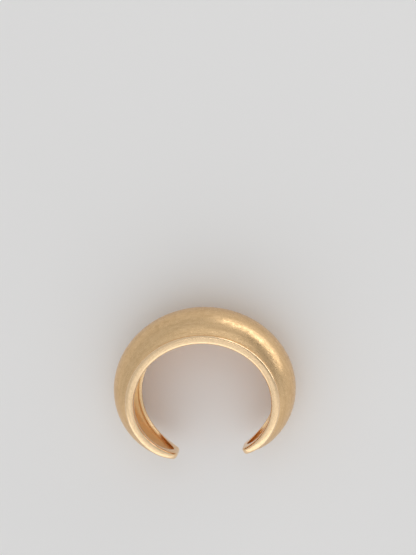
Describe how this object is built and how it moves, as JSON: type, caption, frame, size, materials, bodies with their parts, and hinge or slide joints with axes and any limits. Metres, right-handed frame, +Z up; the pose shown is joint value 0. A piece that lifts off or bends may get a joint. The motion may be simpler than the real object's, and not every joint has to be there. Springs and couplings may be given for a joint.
{
  "type": "cuff bracelet",
  "caption": "Open oval wrist cuff with a puffed dome between two rounded rims, hollow on the wrist side and tapering to blunt ends, in brushed satin gold",
  "frame": {"origin": "on the surface the cuff lies on, under the middle of its bounding box", "axes": "+Z up and along the arm that would go through the cuff; +Y towards the high back of the dome, so the gap between the ends faces -Y; +X across the cuff, its longest way"},
  "size_m": [0.0804, 0.0662, 0.03],
  "materials": {
    "satin_gold": "cast brass with warm gold plate, brushed to a fine satin round the dome and rims, left matt as cast in the hollow"
  },
  "bodies": {
    "root": {"cuff": "satin_gold"}
  },
  "joints": []
}
